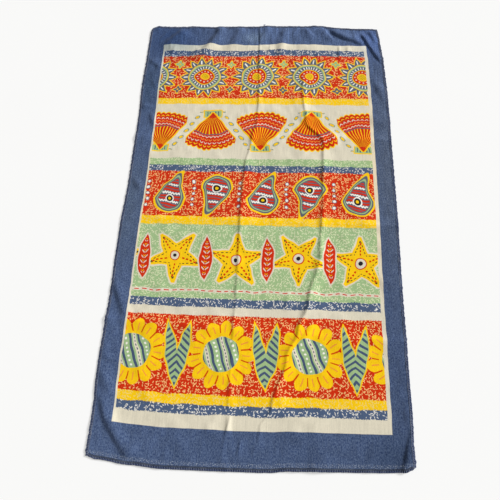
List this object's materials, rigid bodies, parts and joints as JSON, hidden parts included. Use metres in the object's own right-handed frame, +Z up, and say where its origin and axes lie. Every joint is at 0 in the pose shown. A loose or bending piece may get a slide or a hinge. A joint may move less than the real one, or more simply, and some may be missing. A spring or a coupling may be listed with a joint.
{
  "type": "beach towel",
  "caption": "Rectangular printed cotton beach towel laid flat face up, overlocked on all four sides, with storage creases and puckered ends.",
  "frame": {"origin": "on the surface the towel lies on, under the middle of its box", "axes": "+Y along the towel's length, towards the end with the puckered corner; +Z up out of the printed face; +X to the right"},
  "size_m": [0.864, 1.523, 0.0131],
  "materials": {
    "cloth": "printed cotton velour, matt, denim blue border round speckled bands",
    "thread": "navy overlock thread, slight sheen"
  },
  "bodies": {
    "root": {"towel_panel": "cloth", "overlock_left": "thread", "overlock_right": "thread", "overlock_near": "thread", "overlock_far": "thread"}
  },
  "joints": []
}
